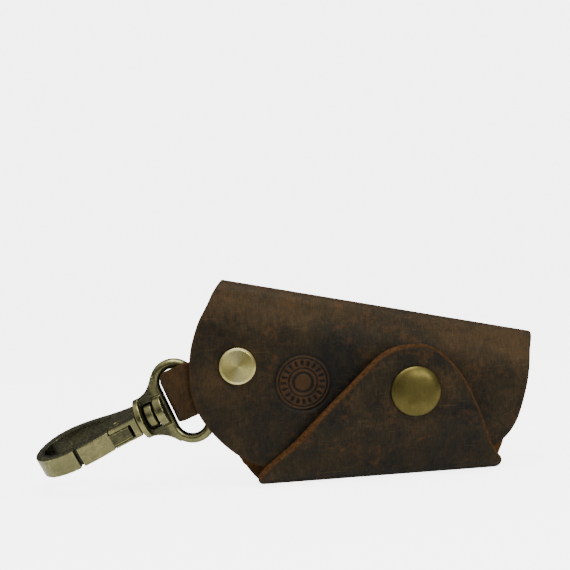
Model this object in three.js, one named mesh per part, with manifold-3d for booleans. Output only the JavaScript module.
// Pick holder: a folded leather pocket case closed by a flap and a press stud,
// with a leather strap and a brass swivel snap hook held by a two-part screw.
// Millimetres. Origin: the press stud's axis on the outer face of the back panel.
// +X runs along the case to its right end, +Y out of the back panel, +Z up; the front is at -Y.
import * as THREE from "three";
import { mergeVertices } from "three/addons/utils/BufferGeometryUtils.js";
import Module from "manifold-3d";

const wasm = await Module();
wasm.setup();

const rad = THREE.MathUtils.degToRad;

// ---- driving dimensions -------------------------------------------------
const LEATHER = 1.8; // case leather thickness
const STRAP_T = 1.4; // strap leather thickness
const GAP = 0.1; // running gap between touching pieces

// case
const BOTTOM_Z = -24.2; // outer crown of the bottom fold
const BOTTOM_HALF_Y = 6.15; // half depth of the bottom fold
const BOTTOM_HALF_Z = 5.0; // height of the bottom fold's round
const BOTTOM_FOLD_TOP = BOTTOM_Z + BOTTOM_HALF_Z;
const TOP_LEFT = [-50.16, 31.94]; // left end of the top fold's outer crown, x and z
const TOP_RIGHT = [34.98, 12.74]; // right end
const TOP_HALF_Y = 4.0; // half depth of the top fold
const TOP_HALF_H = 4.0; // height of the top fold's round
const FRONT_Y = -10.0; // outer face of the front panel
const FLAP_LOW_Y = -12.3; // outer face of the flap beside the bottom fold
const FLAP_SNAP_Y = -15.0; // outer face of the flap at the press stud
const FLAP_RISE_Z = [-17.5, -5.5]; // where the flap's face starts and ends its rise
const FOLD_ANGLES = [0, 15, 30, 45, 60, 75, 90].map(rad); // rows of a half fold, from its crown
const SHEET_COLUMNS = 3;

// strap screw and press stud
const SCREW_X = -47.35;
const SCREW_Z = 9.29;
const SCREW_HEAD_R = 4.95;
const SCREW_BARREL_R = 2.5;
const SCREW_HOLE_R = 2.7;
const STUD_HOLE_R = 1.5;
const FLAP_HOLE_R = 1.6;
const CAP_R = 6.75;

// strap
const CLIP_ANGLE = 22; // strap direction below horizontal, degrees
const STRAP_WIDTH = 13.7;
const STRAP_SHIFT = -0.75; // strap's middle line below the screw axis
const STRAP_FRONT = 8.1; // outer face of the front layer
const STRAP_SLOT_BACK = 3.3; // inner face of the back layer beside the bar
const STRAP_INNER_END = -5.4; // strap end behind the screw
const STRAP_LOOP_END = 20.9; // outer end of the strap loop
const LOOP_ROUND = 3.4; // length of the loop end's outer round
const SLOT_ROUND = 1.9; // length of the slot's inner round
const STRAP_CORNER_R = 4.2; // corners of the inner end
const BACK_TRIM = 3.6; // upper edge of the strap's back layer beside the eye

// swivel eye and hook; lengths from EYE_CENTRE on are for a size of 1
const BAR_DISTANCE = 12.2; // eye bar from the screw axis
const EYE_DROP = -3.14; // the eye hangs at the lower side of the strap
const BAR_Y = -5.0; // eye bar, depth
const EYE_LEAN = rad(10); // eye leans to the back
const HOOK_TURN = rad(10.7); // hook turned about the swivel axis
const HOOK_SIZE = 1.025;
const EYE_CENTRE = 5.1; // eye centre from the bar axis
const EYE_HALF_SPAN = 5.5; // half spacing of the eye's end centres
const EYE_R_OUT = 6.5;
const EYE_R_IN = 3.8;
const BAR_R = 1.35;
const NECK_ANGLE = 40; // where the neck leaves the eye's round end, degrees
const HOOK_THICK = 5.4; // hook band, across
const HOOK_ROUND = 0.55; // rounded rim of the hook band
const NOSE_X = 30.5; // end of the hook's nose
const PIN_X = 18.3; // gate pin in the hook's plane
const PIN_Y = 2.6;
const CHANNEL_Z = [-2.0, 1.65]; // the two walls of the gate's channel
const GATE_X = [20.95, 29.3]; // ends of the gate's arm
const GATE_STEPS = 8;
const GATE_ROOT_T = 3.35;

// ---- outlines of the case, [x, z] from the top down ----------------------
const FRONT_LEFT = [
  TOP_LEFT,
  [-51.86, 30.59], [-53.64, 27.48], [-55.41, 24.37], [-57.2, 21.27], [-58.44, 18.12],
  [-59.43, 14.96], [-60.1, 11.0], [-60.45, 6.6], [-60.2, 3.11], [-59.5, -0.38],
  [-58.5, -2.9], [-57.2, -5.4], [-55.3, -8.2], [-52.9, -11.1], [-50.58, -13.39],
  [-48.25, -15.3], [-45.93, -16.87], [-43.58, -18.14], [-41.3, -18.9], [-38.5, -19.3],
];
const FRONT_RIGHT = [
  TOP_RIGHT,
  [34.25, 10.6], [33.75, 8.3], [33.06, 3.81], [32.15, -0.9], [31.22, -4.4],
  [30.2, -7.67], [28.85, -10.93], [26.95, -13.8], [24.88, -15.8], [22.9, -17.3],
  [20.5, -18.5], [17.5, -19.2], [14.0, -19.35],
];
const BACK_LEFT = [
  TOP_LEFT,
  [-51.3, 30.3], [-53.0, 27.3], [-54.8, 24.2], [-56.6, 21.1], [-57.9, 18.0],
  [-58.9, 14.8], [-59.5, 11.0], [-59.8, 6.6], [-59.6, 3.0], [-58.9, -0.5],
  [-57.9, -3.1], [-56.5, -5.7], [-54.6, -8.6], [-52.2, -11.5], [-50.0, -14.0],
  [-47.9, -16.9], [-46.6, -19.2], [-45.2, -21.1], [-44.0, -22.7], [-42.7, -23.8],
  [-41.6, -24.2],
];
const BACK_RIGHT = [
  TOP_RIGHT,
  [34.1, 10.4], [33.6, 8.2], [32.8, 3.8], [31.8, -0.9], [30.9, -4.4],
  [29.9, -7.7], [28.7, -11.0], [27.8, -14.2], [27.0, -17.4], [26.4, -19.2],
  [25.7, -21.1], [24.9, -22.7], [23.7, -23.8], [22.6, -24.2],
];
// closure flap, from the bottom up: z, left x, right x
const FLAP = [
  [-24.2, -41.6, 22.6], [-23.8, -42.7, 23.1], [-22.7, -43.4, 23.6], [-21.1, -43.1, 23.7],
  [-19.2, -42.0, 22.4], [-18.2, -40.9, 21.9], [-15.57, -37.34, 20.65], [-13.8, -35.1, 20.05],
  [-11.86, -32.87, 19.45], [-10.0, -31.1, 18.75], [-8.03, -29.28, 18.0], [-4.46, -25.72, 16.5],
  [-0.79, -21.73, 15.05], [1.88, -18.72, 13.8], [4.51, -15.95, 12.2], [7.41, -12.75, 9.9],
  [10.0, -9.7, 7.2], [11.6, -6.9, 5.0], [12.4, -4.0, 2.9], [12.65, -1.6, 1.0],
];
// flare of the front panel under the top fold: height from the crown, y of the outer face
const FRONT_FLARE = [[-5.5, -8.6], [-7.5, -9.2], [-9.5, -9.7]];
const FLARE_END = -12; // height from the crown where the flat face starts

// ---- turned profiles, [radius, y] ----------------------------------------
const STUD_POST_PROFILE = [
  [0, -7.5], [3.6, -7.5], [3.95, -7.75], [3.95, -8.1], [1.25, -8.1], [1.25, -12.4], [0, -12.4],
];
const STUD_PROFILE = [
  [1.42, -10.1], [4.0, -10.1], [4.0, -10.45], [3.3, -10.75], [2.0, -10.95], [2.0, -11.6],
  [2.3, -11.95], [2.3, -12.3], [1.95, -12.6], [1.42, -12.6],
];
const SOCKET_PROFILE = [
  [1.6, -13.1], [4.9, -13.1], [5.2, -12.8], [5.2, -11.4], [4.85, -11.05], [2.75, -11.05],
  [2.75, -11.22], [3.25, -11.22], [3.25, -12.02], [2.75, -12.12], [2.75, -12.85], [1.6, -12.85],
];
const CAP_PROFILE = [
  [0, -16.65], [2.2, -16.6], [4.2, -16.4], [5.4, -16.1], [6.2, -15.7], [CAP_R, -15.3],
  [CAP_R, -15.1], [1.4, -15.1], [1.4, -12.95], [0, -12.95],
];
// the screw's profiles are in the clip frame, where +Y is to the front
const SCREW_POST_PROFILE = [
  [0, 11.2], [4.3, 11.2], [SCREW_HEAD_R, 10.85], [SCREW_HEAD_R, 10.15],
  [SCREW_BARREL_R, 10.15], [SCREW_BARREL_R, 5.3], [1.7, 5.3], [1.7, 9.6], [0, 9.6],
];
const SCREW_BOLT_PROFILE = [
  [0, 4.0], [4.1, 4.0], [4.5, 4.35], [4.5, 5.1], [1.5, 5.1], [1.5, 9.2], [0, 9.2],
];
// swivel stem: radius, distance along the hook's axis
const STEM_PROFILE = [
  [0, 7.9], [2.9, 7.9], [3.35, 8.3], [3.35, 10.1], [3.0, 10.5], [1.5, 10.5], [1.5, 14.1], [0, 14.1],
];

// ---- swivel eye's outlines, from the eye centre ----------------------------
// neck: x along the hook's axis, half width
const NECK = [[6.3, 8.05], [7.6, 6.85], [9.2, 5.9], [11.6, 5.2]];
const NECK_WINDOW = [[7.3, 3.7], [10.9, 3.7], [10.9, -3.7], [7.3, -3.7]];
// rounded edges of the opening: distance across the thickness, growth of the opening
const OPENING_LAYERS = [
  [-3, 0.8], [-1.4, 0.8], [-1.12, 0.3], [-0.55, 0], [0.55, 0], [1.12, 0.3], [1.4, 0.8], [3, 0.8],
];

// ---- hook's outlines, [x, y] in the hook frame -----------------------------
// control points of the curves, given at +y; OUTER and INNER are also mirrored to -y
const OUTER = smooth([
  [20.5, 6.05], [23.5, 7.15], [26.5, 8.0], [30, 8.75], [33, 9.0],
  [36, 8.5], [38.7, 7.2], [40.7, 5.2], [42.1, 2.7], [42.6, 0],
], 22);
const NOSE = smooth([
  [20.5, 6.05], [23.5, 7.1], [26.5, 7.9], [30, 8.45], [33, 8.55],
  [36, 8.0], [38.7, 6.8], [40.7, 5.0], [42.1, 2.7], [42.6, 0],
], 22);
const INNER = smooth([
  [20.5, 3.3], [23.5, 4.3], [26.5, 5.1], [30, 5.8], [33, 6.0],
  [35.8, 5.4], [37.9, 4.1], [39.5, 2.1], [40, 0],
], 20);
const GATE_ROOT = [
  [15.25, 5.0], [16.5, 5.15], [20.5, 5.95], [22, 6.45], [22, 3.85], [20.3, 0.45],
  [PIN_X, PIN_Y], [15.25, PIN_Y],
];
const LEAF_SPRING = [
  [14.9, -1.5], [20.1, -1.5], [20.42, -1.38], [20.55, -1.1], [20.42, -0.8], [20.1, -0.68],
  [16.4, -0.68], [16.4, -0.9], [20.0, -0.9], [20.25, -1.0], [20.3, -1.1], [20.25, -1.2],
  [20.0, -1.28], [14.9, -1.28],
];

// ---- 2-D helpers ----------------------------------------------------------
function vectors(points) {
  return points.map(([x, y]) => new THREE.Vector2(x, y));
}
// steps + 1 points on an elliptic arc; angles in degrees.
function arc([centreX, centreY], radiusX, radiusY, from, to, steps) {
  return Array.from({ length: steps + 1 }, (_, i) => {
    const angle = rad(from + ((to - from) * i) / steps);
    return [centreX + radiusX * Math.cos(angle), centreY + radiusY * Math.sin(angle)];
  });
}
function smooth(points, steps) {
  return new THREE.SplineCurve(vectors(points)).getPoints(steps).map(({ x, y }) => [x, y]);
}
function mirrored(points) {
  return points.map(([x, y]) => [x, -y]);
}
function mix(start, end, share) {
  return start.map((value, i) => value + (end[i] - value) * share);
}
// The point where an edge polyline reaches a height, measured by `measure`.
function along(edge, measure, height) {
  for (let i = 0; i + 1 < edge.length; i++) {
    const start = measure(edge[i]);
    const end = measure(edge[i + 1]);
    if ((height <= start && height >= end) || (height >= start && height <= end))
      return mix(edge[i], edge[i + 1], start === end ? 0 : (height - start) / (end - start));
  }
  return measure(edge[0]) > height ? edge[edge.length - 1] : edge[0];
}
// A polyline resampled at equal steps of its length.
function resample(edge, steps) {
  const lengths = [0];
  for (let i = 1; i < edge.length; i++) {
    const [dx, dz] = [edge[i][0] - edge[i - 1][0], edge[i][1] - edge[i - 1][1]];
    lengths.push(lengths[i - 1] + Math.hypot(dx, dz));
  }
  return Array.from({ length: steps + 1 }, (_, step) => {
    const target = (lengths[lengths.length - 1] * step) / steps;
    let i = 0;
    while (i + 2 < lengths.length && lengths[i + 1] < target) i++;
    return mix(edge[i], edge[i + 1], (target - lengths[i]) / (lengths[i + 1] - lengths[i]));
  });
}

// ---- solid helpers --------------------------------------------------------
function manifold(positions, triangles) {
  return new wasm.Manifold(
    new wasm.Mesh({
      numProp: 3,
      vertProperties: new Float32Array(positions),
      triVerts: new Uint32Array(triangles),
    }),
  );
}
// A closed geometry as a solid; one wound inside out is turned over.
function solid(geometry) {
  const bare = geometry.index ? geometry.toNonIndexed() : geometry.clone();
  bare.deleteAttribute("normal");
  bare.deleteAttribute("uv");
  const merged = mergeVertices(bare, 1e-4);
  const positions = merged.attributes.position.array;
  const triangles = merged.index.array;
  const made = manifold(positions, triangles);
  if (made.volume() >= 0) return made;
  const flipped = new Uint32Array(triangles);
  for (let i = 0; i < flipped.length; i += 3)
    [flipped[i + 1], flipped[i + 2]] = [flipped[i + 2], flipped[i + 1]];
  return manifold(positions, flipped);
}
function indexedGeometry(positions, triangles) {
  return new THREE.BufferGeometry()
    .setAttribute("position", new THREE.BufferAttribute(new Float32Array(positions), 3))
    .setIndex(new THREE.BufferAttribute(new Uint32Array(triangles), 1));
}
function flatShaded(body) {
  const { vertProperties, triVerts } = body.getMesh();
  const flat = indexedGeometry(vertProperties, triVerts).toNonIndexed();
  flat.computeVertexNormals();
  return flat;
}
const cut = (base, ...tools) => tools.reduce((body, tool) => body.subtract(tool), base);
const join = (base, ...more) => more.reduce((body, part) => body.add(part), base);

// A turned piece about the Y axis from [radius, y] points that start and end on the axis.
function turned(profile, segments = 32) {
  return solid(new THREE.LatheGeometry(vectors(profile), segments));
}
// A turned piece with a bore, from a profile that closes on itself.
function turnedRing(profile, segments) {
  return turned([...profile, profile[0]], segments);
}
function rodAlongX(radius, length, x, segments) {
  const cylinder = new THREE.CylinderGeometry(radius, radius, length, segments);
  return solid(cylinder.rotateZ(Math.PI / 2).translate(x, 0, 0));
}
function rodAlongY(radius, y0, y1, x = 0, z = 0, segments = 32) {
  const cylinder = new THREE.CylinderGeometry(radius, radius, y1 - y0, segments);
  return solid(cylinder.translate(x, (y0 + y1) / 2, z));
}
// A cylinder on the gate pin's axis, along Z.
function rodOnPin(radius, length, segments, z = 0) {
  const cylinder = new THREE.CylinderGeometry(radius, radius, length, segments);
  return solid(cylinder.rotateX(Math.PI / 2).translate(PIN_X, PIN_Y, z));
}
function box(x0, x1, y0, y1, z0, z1) {
  return solid(
    new THREE.BoxGeometry(x1 - x0, y1 - y0, z1 - z0).translate(
      (x0 + x1) / 2,
      (y0 + y1) / 2,
      (z0 + z1) / 2,
    ),
  );
}
// A plate geometry from a 2-D outline with an optional rounded rim, centred on z = 0.
function plate(outline, thickness, round = 0) {
  const depth = thickness - 2 * round;
  return new THREE.ExtrudeGeometry(new THREE.Shape(vectors(outline)), {
    depth,
    bevelEnabled: round > 0,
    bevelThickness: round,
    bevelSize: round,
    bevelOffset: -round,
    bevelSegments: 2,
  }).translate(0, 0, -depth / 2);
}
// An [x, z] outline extruded from y0 to y1.
function prismAlongY(outline, y0, y1, shiftZ = 0) {
  const shape = new THREE.Shape(vectors(outline));
  const prism = new THREE.ExtrudeGeometry(shape, { depth: y1 - y0, bevelEnabled: false });
  return solid(prism.rotateX(Math.PI / 2).translate(0, y1, shiftZ));
}
// A closed geometry through outlines of equal length, each {z, points}, from low z to high z.
function loft(layers) {
  const count = layers[0].points.length;
  const positions = layers.flatMap(({ z, points }) => points.flatMap(([x, y]) => [x, y, z]));
  const triangles = [];
  for (let k = 0; k + 1 < layers.length; k++)
    for (let i = 0; i < count; i++) {
      const here = k * count + i;
      const next = k * count + ((i + 1) % count);
      triangles.push(here, next, next + count, here, next + count, here + count);
    }
  const top = (layers.length - 1) * count;
  for (const [a, b, c] of THREE.ShapeUtils.triangulateShape(vectors(layers[0].points), [])) {
    triangles.push(a, c, b);
    triangles.push(top + a, top + b, top + c);
  }
  return indexedGeometry(positions, triangles);
}
// A leather sheet from rows of {outer: [left, right], inner: [left, right]} 3-D points.
function sheet(rows) {
  const positions = [];
  const triangles = [];
  const put = (point) => positions.push(...point) / 3 - 1;
  const [outer, inner] = ["outer", "inner"].map((side) =>
    rows.map(({ [side]: [left, right] }) =>
      Array.from({ length: SHEET_COLUMNS + 1 }, (_, c) => put(mix(left, right, c / SHEET_COLUMNS))),
    ),
  );
  const quad = (a, b, c, d) => triangles.push(a, b, c, a, c, d);
  const last = rows.length - 1;
  const end = SHEET_COLUMNS;
  for (let r = 0; r < last; r++) {
    for (let c = 0; c < end; c++) {
      quad(outer[r][c], outer[r + 1][c], outer[r + 1][c + 1], outer[r][c + 1]);
      quad(inner[r][c], inner[r][c + 1], inner[r + 1][c + 1], inner[r + 1][c]);
    }
    quad(outer[r][0], inner[r][0], inner[r + 1][0], outer[r + 1][0]);
    quad(outer[r][end], outer[r + 1][end], inner[r + 1][end], inner[r][end]);
  }
  for (let c = 0; c < end; c++) {
    quad(outer[0][c], outer[0][c + 1], inner[0][c + 1], inner[0][c]);
    quad(outer[last][c], inner[last][c], inner[last][c + 1], outer[last][c + 1]);
  }
  return solid(indexedGeometry(positions, triangles));
}

// ---- leather case ---------------------------------------------------------
// In this section side is -1 for leather that faces the front, +1 for the back.
const topSlope = Math.atan2(TOP_LEFT[1] - TOP_RIGHT[1], TOP_RIGHT[0] - TOP_LEFT[0]);
// height from the top fold's crown, square to it; negative below
const fromCrown = ([x, z]) =>
  (x - TOP_LEFT[0]) * Math.sin(topSlope) + (z - TOP_LEFT[1]) * Math.cos(topSlope);
const heightZ = ([, z]) => z;
const atDepth = ([x, z], y) => [x, y, z];

// Each fold is half an ellipse about its middle height; crownSign points to its crown.
const TOP_FOLD = {
  measure: fromCrown,
  middle: -TOP_HALF_H,
  crownSign: 1,
  halfHeight: TOP_HALF_H,
  halfDepth: TOP_HALF_Y,
};
const BOTTOM_FOLD = {
  measure: heightZ,
  middle: BOTTOM_FOLD_TOP,
  crownSign: -1,
  halfHeight: BOTTOM_HALF_Z,
  halfDepth: BOTTOM_HALF_Y,
};
// Rows of half a fold, from its crown to its middle height.
function foldRows(fold, left, right, side) {
  return FOLD_ANGLES.map((angle) => {
    const ends = (inset) => {
      const reach = (fold.halfHeight - inset) * Math.cos(angle);
      const bulge = Math.max((fold.halfDepth - inset) * Math.sin(angle), GAP / 2);
      const height = fold.middle + fold.crownSign * reach;
      const y = -fold.halfDepth + side * bulge;
      return [left, right].map((edge) => atDepth(along(edge, fold.measure, height), y));
    };
    return { outer: ends(0), inner: ends(LEATHER) };
  });
}
function flatRow(left, right, y, side) {
  const innerY = y - side * LEATHER;
  return {
    outer: [atDepth(left, y), atDepth(right, y)],
    inner: [atDepth(left, innerY), atDepth(right, innerY)],
  };
}

// Half of the top fold, a flat face, half of the bottom fold.
function backPanel() {
  const flatPart = (edge) => [
    along(edge, fromCrown, -TOP_HALF_H),
    ...edge.filter((p) => fromCrown(p) < -TOP_HALF_H - 0.3 && p[1] > BOTTOM_FOLD_TOP + 0.2),
    along(edge, heightZ, BOTTOM_FOLD_TOP),
  ];
  const left = resample(flatPart(BACK_LEFT), 20);
  const right = resample(flatPart(BACK_RIGHT), 20);
  return sheet([
    ...foldRows(TOP_FOLD, BACK_LEFT, BACK_RIGHT, 1),
    // the folds already hold the first and last rows
    ...left.map((point, i) => flatRow(point, right[i], 0, 1)).slice(1, -1),
    ...foldRows(BOTTOM_FOLD, BACK_LEFT, BACK_RIGHT, 1).reverse(),
  ]);
}
// Half of the top fold, a short flare, then a flat face.
function frontPanel() {
  const flatPart = (edge) => [
    along(edge, fromCrown, FLARE_END),
    ...edge.filter((p) => fromCrown(p) < FLARE_END - 0.2),
  ];
  const left = resample(flatPart(FRONT_LEFT), 19);
  const right = resample(flatPart(FRONT_RIGHT), 19);
  const flare = FRONT_FLARE.map(([height, y]) => {
    const [start, end] = [FRONT_LEFT, FRONT_RIGHT].map((edge) => along(edge, fromCrown, height));
    return flatRow(start, end, y, -1);
  });
  const rows = [
    ...foldRows(TOP_FOLD, FRONT_LEFT, FRONT_RIGHT, -1),
    ...flare,
    ...left.map((point, i) => flatRow(point, right[i], FRONT_Y, -1)),
  ];
  return cut(
    sheet(rows),
    rodAlongY(SCREW_HOLE_R, -12, -6, SCREW_X, SCREW_Z),
    rodAlongY(STUD_HOLE_R, -12, -6, 0, 0, 24),
  );
}
// Half of the bottom fold, then a face that rises over the press stud.
function closureFlap() {
  const left = FLAP.map(([z, x]) => [x, z]);
  const right = FLAP.map(([z, , x]) => [x, z]);
  const rows = foldRows(BOTTOM_FOLD, left, right, -1);
  FLAP.forEach(([z], i) => {
    if (z <= BOTTOM_FOLD_TOP + 0.5) return;
    const rise = THREE.MathUtils.smoothstep(z, ...FLAP_RISE_Z);
    rows.push(flatRow(left[i], right[i], FLAP_LOW_Y + (FLAP_SNAP_Y - FLAP_LOW_Y) * rise, -1));
  });
  return cut(sheet(rows), rodAlongY(FLAP_HOLE_R, -17, -11, 0, 0, 24));
}

// ---- press stud -----------------------------------------------------------
// Centre line of the split wire ring, open by 40 degrees at its +X side.
class SplitRing extends THREE.Curve {
  getPoint(t, out = new THREE.Vector3()) {
    const angle = rad(20 + 320 * t);
    const radius = 2.86;
    return out.set(radius * Math.cos(angle), -11.62, radius * Math.sin(angle));
  }
}
function snapSpring() {
  const wire = new THREE.Shape(vectors(arc([0, 0], 0.3, 0.3, 0, 300, 5)));
  const options = { steps: 20, bevelEnabled: false, extrudePath: new SplitRing() };
  return solid(new THREE.ExtrudeGeometry(wire, options));
}

// ---- screw and strap, in the clip frame -------------------------------------
function screwBolt() {
  const driverSlot = box(-6, 6, 3.5, 4.55, -0.6, 0.6);
  return cut(turned(SCREW_BOLT_PROFILE), driverSlot);
}

// Side profile of the strap, [x, y]: one strip folded into a loop whose slot takes the eye's bar.
function strapProfile() {
  const frontInner = STRAP_FRONT - STRAP_T;
  const backInner = frontInner - GAP;
  const backOuter = backInner - STRAP_T;
  const loopBack = STRAP_SLOT_BACK - STRAP_T; // outer face of the back layer beside the bar
  const roundX = STRAP_LOOP_END - LOOP_ROUND;
  const loopHalf = (STRAP_FRONT - loopBack) / 2;
  const slotHalf = (frontInner - STRAP_SLOT_BACK) / 2;
  const loopCentre = [roundX, (STRAP_FRONT + loopBack) / 2];
  const slotCentre = [roundX, STRAP_SLOT_BACK + slotHalf];
  return [
    [STRAP_INNER_END, STRAP_FRONT], [17.4, STRAP_FRONT],
    ...arc(loopCentre, LOOP_ROUND, loopHalf, 90, -90, 10).slice(1, -1),
    // outside of the back layer, stepping forward to the screw
    [roundX, loopBack], [11.6, loopBack], [8.8, 3.3], [6.8, 4.6], [5.0, backOuter],
    [STRAP_INNER_END, backOuter], [STRAP_INNER_END, backInner],
    // inside of the back layer, stepping back to the slot
    [5.8, backInner], [7.8, 5.9], [9.6, 4.6], [11.6, STRAP_SLOT_BACK], [roundX, STRAP_SLOT_BACK],
    ...arc(slotCentre, SLOT_ROUND, slotHalf, -90, 90, 8).slice(1, -1),
    [roundX, frontInner], [STRAP_INNER_END, frontInner],
  ];
}
// Waste outside a rounded corner of the strap's inner end; side is +1 or -1 across the strap.
function strapCorner(side) {
  const half = STRAP_WIDTH / 2;
  const radius = STRAP_CORNER_R;
  const centre = [STRAP_INNER_END + radius, side * (half - radius)];
  const outline = [
    [STRAP_INNER_END - 1, side * (half + 1)],
    [STRAP_INNER_END - 1, side * (half - radius)],
    ...arc(centre, -radius, side * radius, 0, 90, 6),
    [STRAP_INNER_END + radius, side * (half + 1)],
  ];
  return prismAlongY(outline, 2, 12, STRAP_SHIFT);
}
// Waste above the loop's upper corner, which follows the round end of the eye's opening.
function loopCorner() {
  const centreX = BAR_DISTANCE + HOOK_SIZE * EYE_CENTRE * Math.cos(EYE_LEAN);
  const centreZ = EYE_DROP + HOOK_SIZE * EYE_HALF_SPAN;
  const radius = HOOK_SIZE * EYE_R_IN - 0.6;
  const outline = [
    [22, centreZ + radius + 2],
    [centreX, centreZ + radius + 2],
    ...arc([centreX, centreZ], radius * Math.cos(EYE_LEAN), radius, 90, 0, 8),
    [22, centreZ],
  ];
  return prismAlongY(outline, 1, 11);
}
function hookStrap() {
  return cut(
    solid(plate(strapProfile(), STRAP_WIDTH).translate(0, 0, STRAP_SHIFT)),
    rodAlongY(SCREW_HOLE_R, 3, 10),
    strapCorner(1),
    strapCorner(-1),
    loopCorner(),
    // the back layer's upper edge is trimmed to lie beside the eye's round end
    box(9.9, 22, 1, 4.9, BACK_TRIM, 8),
  );
}

// ---- swivel eye, in the eye frame -------------------------------------------
function eyeOutline() {
  const farAngle = 180;
  const upper = [0, EYE_HALF_SPAN];
  const lower = [0, -EYE_HALF_SPAN];
  return [
    ...arc(upper, EYE_R_OUT, EYE_R_OUT, farAngle, NECK_ANGLE, 12),
    ...NECK,
    ...mirrored(NECK).reverse(),
    ...arc(lower, EYE_R_OUT, EYE_R_OUT, -NECK_ANGLE, -farAngle, 12),
  ];
}
function eyeOpening(growth) {
  const radius = EYE_R_IN + growth;
  return [
    ...arc([0, EYE_HALF_SPAN], radius, radius, 0, 180, 10),
    ...arc([0, -EYE_HALF_SPAN], radius, radius, 180, 360, 10),
  ];
}
function swivelEye() {
  // lays a flat geometry into the eye's plane, at the eye centre
  const inEye = (geometry) => solid(geometry.rotateX(Math.PI / 2).translate(EYE_CENTRE, 0, 0));
  const openingLayers = OPENING_LAYERS.map(([z, growth]) => ({ z, points: eyeOpening(growth) }));
  const ring = cut(
    inEye(plate(eyeOutline(), 2 * BAR_R, 0.8)),
    inEye(loft(openingLayers)),
    inEye(plate(NECK_WINDOW, 6)),
  );
  const boss = rodAlongX(4.35, 2.2, EYE_CENTRE + 6.2, 32);
  const flange = rodAlongX(5.5, 1.5, EYE_CENTRE + 11.65, 36);
  const stemHole = rodAlongX(1.75, 4, EYE_CENTRE + 11.9, 24);
  return cut(join(ring, boss, flange), stemHole);
}

// ---- hook, in the hook frame --------------------------------------------------
const positionX = ([x]) => x;

function swivelStem() {
  return solid(new THREE.LatheGeometry(vectors(STEM_PROFILE), 24).rotateZ(-Math.PI / 2));
}
function hookBody() {
  const inNose = ([x]) => x > NOSE_X + 0.2;
  const outline = [
    [12.7, -4.7], [16.5, -5.2],
    ...mirrored(OUTER),
    ...NOSE.slice(0, -1).reverse().filter(inNose),
    [NOSE_X, along(NOSE, positionX, NOSE_X)[1] - 0.4],
    [NOSE_X, along(INNER, positionX, NOSE_X)[1]],
    ...INNER.filter(inNose),
    ...mirrored(INNER.slice(0, -1)).reverse(),
    [20.5, 5.95], [16.5, 5.2], [12.7, 4.7],
  ];
  const channel = box(14.5, 22, -1.6, 8, ...CHANNEL_Z);
  const stemHole = rodAlongX(1.65, 3, 13.4, 24);
  return cut(
    solid(plate(outline, HOOK_THICK, HOOK_ROUND)),
    channel,
    rodOnPin(0.9, 8, 20),
    stemHole,
  );
}
function gatePin() {
  return rodOnPin(0.8, HOOK_THICK - GAP, 20);
}
// A full-thickness arm on a thinner round root that sits in the channel.
function hookGate() {
  const [start, end] = GATE_X;
  const armEdge = (curve) =>
    Array.from({ length: GATE_STEPS + 1 }, (_, i) =>
      along(curve, positionX, start + ((end - start) * i) / GATE_STEPS),
    );
  const arm = [...armEdge(NOSE), ...armEdge(INNER).reverse()];
  const rootZ = (CHANNEL_Z[0] + CHANNEL_Z[1]) / 2;
  return cut(
    join(
      solid(plate(arm, HOOK_THICK - GAP, 0.5)),
      rodOnPin(3, GATE_ROOT_T, 36, rootZ),
      solid(plate(GATE_ROOT, GATE_ROOT_T).translate(0, 0, rootZ)),
    ),
    rodOnPin(0.92, 8, 20),
  );
}
// A leaf bent back on itself in the floor of the channel.
function gateSpring() {
  return solid(plate(LEAF_SPRING, 2.6));
}

// ---- materials ------------------------------------------------------------
function leather(color) {
  return new THREE.MeshStandardMaterial({ color, roughness: 0.55, metalness: 0 });
}
function brass({ color, roughness }) {
  return new THREE.MeshStandardMaterial({ color, roughness, metalness: 0.9 });
}
const caseLeather = leather(0x3f3226);
const strapLeather = leather(0x43311e);
const antique = brass({ color: 0x6b5f3a, roughness: 0.42 });
const bright = brass({ color: 0x9c9160, roughness: 0.3 });
const dark = brass({ color: 0x5c5a48, roughness: 0.45 });
const steel = new THREE.MeshStandardMaterial({ color: 0x8a8a86, roughness: 0.35, metalness: 1 });

// ---- frames and assembly ----------------------------------------------------
function frame(name) {
  const group = new THREE.Group();
  group.name = name;
  return group;
}
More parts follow.
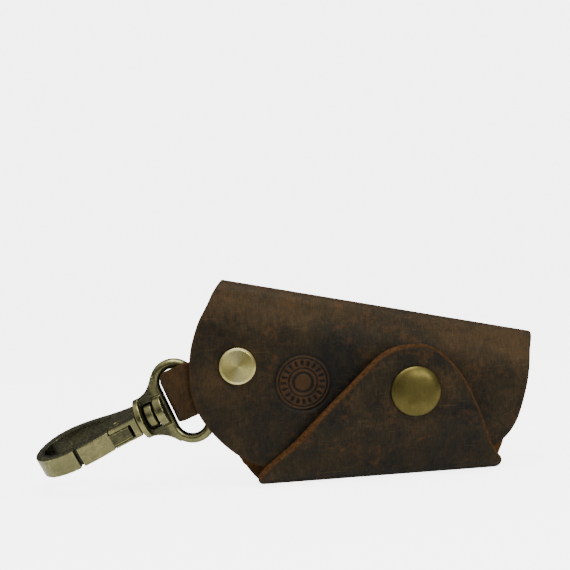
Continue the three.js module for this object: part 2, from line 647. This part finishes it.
// Local +X runs from the screw to the hook, +Y to the front, +Z up across the strap.
function clipFrame() {
  const group = frame("clip_frame");
  const [cos, sin] = [Math.cos(rad(CLIP_ANGLE)), Math.sin(rad(CLIP_ANGLE))];
  const matrix = new THREE.Matrix4().makeBasis(
    new THREE.Vector3(-cos, 0, -sin),
    new THREE.Vector3(0, -1, 0),
    new THREE.Vector3(-sin, 0, cos),
  );
  group.applyMatrix4(matrix.setPosition(SCREW_X, 0, SCREW_Z));
  return group;
}
// Local +X runs along the hook's axis from the bar, leaning to the back.
function eyeFrame() {
  const group = frame("eye_frame");
  group.position.set(BAR_DISTANCE, -BAR_Y, EYE_DROP);
  group.scale.setScalar(HOOK_SIZE);
  group.rotation.z = -EYE_LEAN;
  return group;
}
// Local +X runs from the eye centre, +Y to the gate side, +Z square to the hook's plane.
function hookFrame() {
  const group = frame("hook_frame");
  group.position.x = EYE_CENTRE;
  group.rotation.x = -HOOK_TURN;
  return group;
}
function addPiece(parent, name, body, material) {
  const mesh = new THREE.Mesh(flatShaded(body), material);
  mesh.name = name;
  parent.add(mesh);
}

const holder = frame("pick_holder");
addPiece(holder, "back_panel", backPanel(), caseLeather);
addPiece(holder, "front_panel", frontPanel(), caseLeather);
addPiece(holder, "closure_flap", closureFlap(), caseLeather);
addPiece(holder, "snap_stud_post", turned(STUD_POST_PROFILE, 24), steel);
addPiece(holder, "snap_stud", turnedRing(STUD_PROFILE, 24), antique);
addPiece(holder, "snap_socket", turnedRing(SOCKET_PROFILE, 24), antique);
addPiece(holder, "snap_spring", snapSpring(), steel);
addPiece(holder, "snap_cap", turned(CAP_PROFILE, 40), antique);

const clip = clipFrame();
holder.add(clip);
addPiece(clip, "screw_post", turned(SCREW_POST_PROFILE), bright);
addPiece(clip, "screw_bolt", screwBolt(), bright);
addPiece(clip, "hook_strap", hookStrap(), strapLeather);

const eye = eyeFrame();
clip.add(eye);
addPiece(eye, "swivel_eye", swivelEye(), dark);

const hook = hookFrame();
eye.add(hook);
addPiece(hook, "swivel_stem", swivelStem(), dark);
addPiece(hook, "hook_body", hookBody(), dark);
addPiece(hook, "gate_pin", gatePin(), steel);
addPiece(hook, "hook_gate", hookGate(), dark);
addPiece(hook, "gate_spring", gateSpring(), steel);

export default holder;
